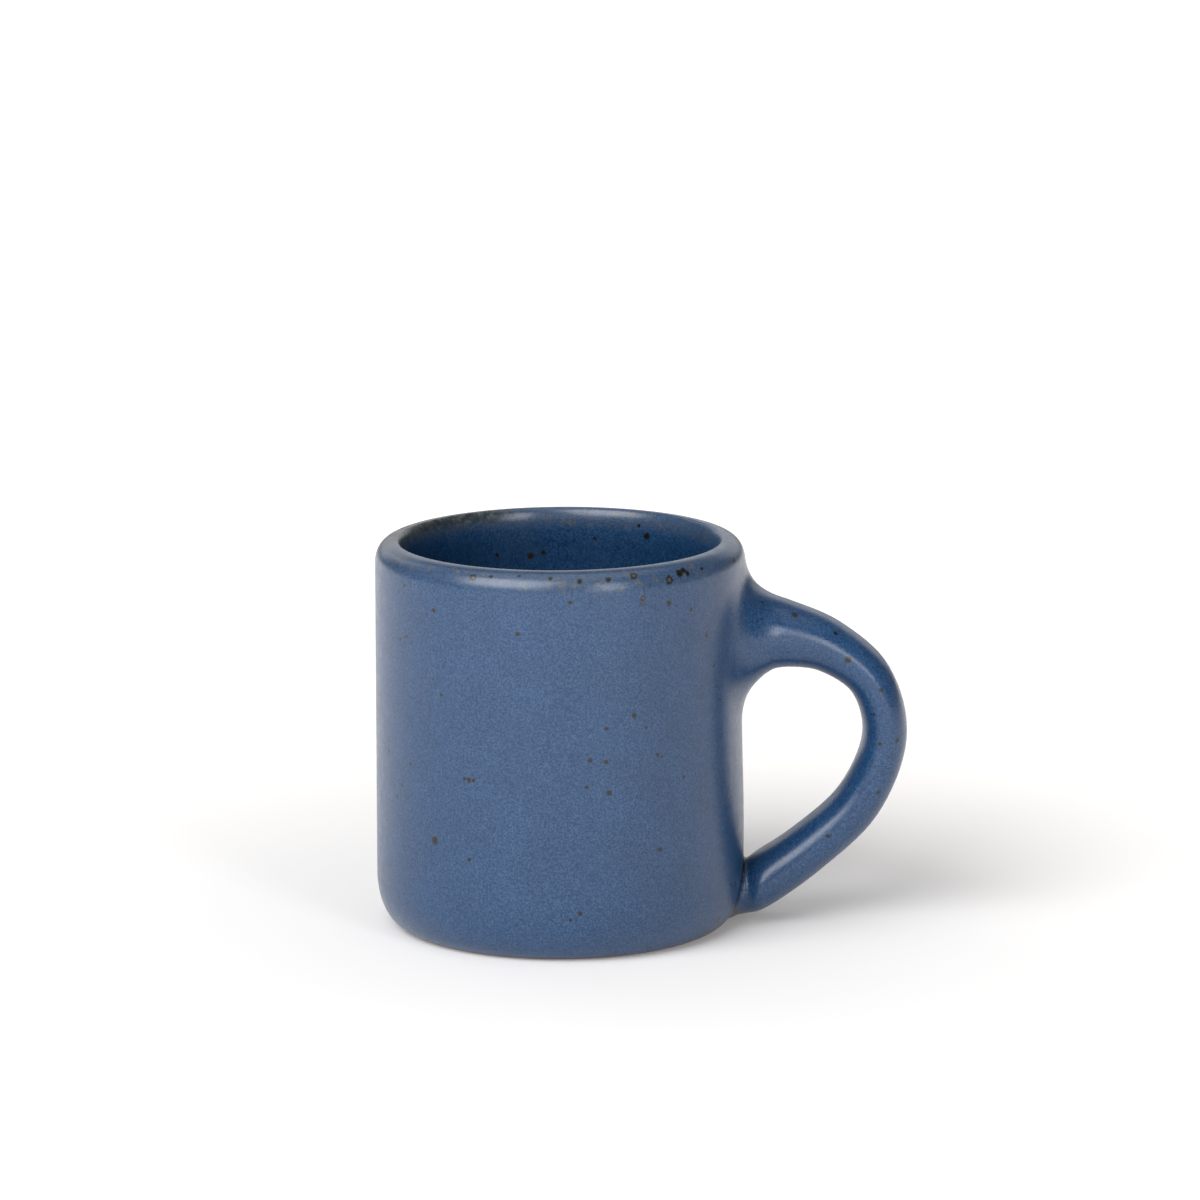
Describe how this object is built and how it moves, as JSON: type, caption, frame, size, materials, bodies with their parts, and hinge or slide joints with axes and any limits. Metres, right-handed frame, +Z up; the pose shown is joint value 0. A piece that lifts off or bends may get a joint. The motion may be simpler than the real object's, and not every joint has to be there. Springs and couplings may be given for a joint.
{
  "type": "mug",
  "caption": "Round stoneware mug with straight sides, a thick rounded lip and a curved strap handle, for holding hot or cold drinks.",
  "frame": {"origin": "centre of the flat foot, on the surface the mug stands on", "axes": "+Z up along the cup's axis, +X from the cup's axis out to the handle, +Y across the handle's width"},
  "size_m": [0.1194, 0.083, 0.0885],
  "materials": {
    "stoneware": "fired bare stoneware, matt",
    "slip": "fired clay slip, matt",
    "glaze": "satin speckled slate-blue glaze that breaks brown on edges"
  },
  "bodies": {
    "root": {"cup_body": "stoneware", "handle": "stoneware", "upper_slip_joint": "slip", "lower_slip_joint": "slip", "cup_glaze": "glaze", "handle_glaze": "glaze"}
  },
  "joints": []
}
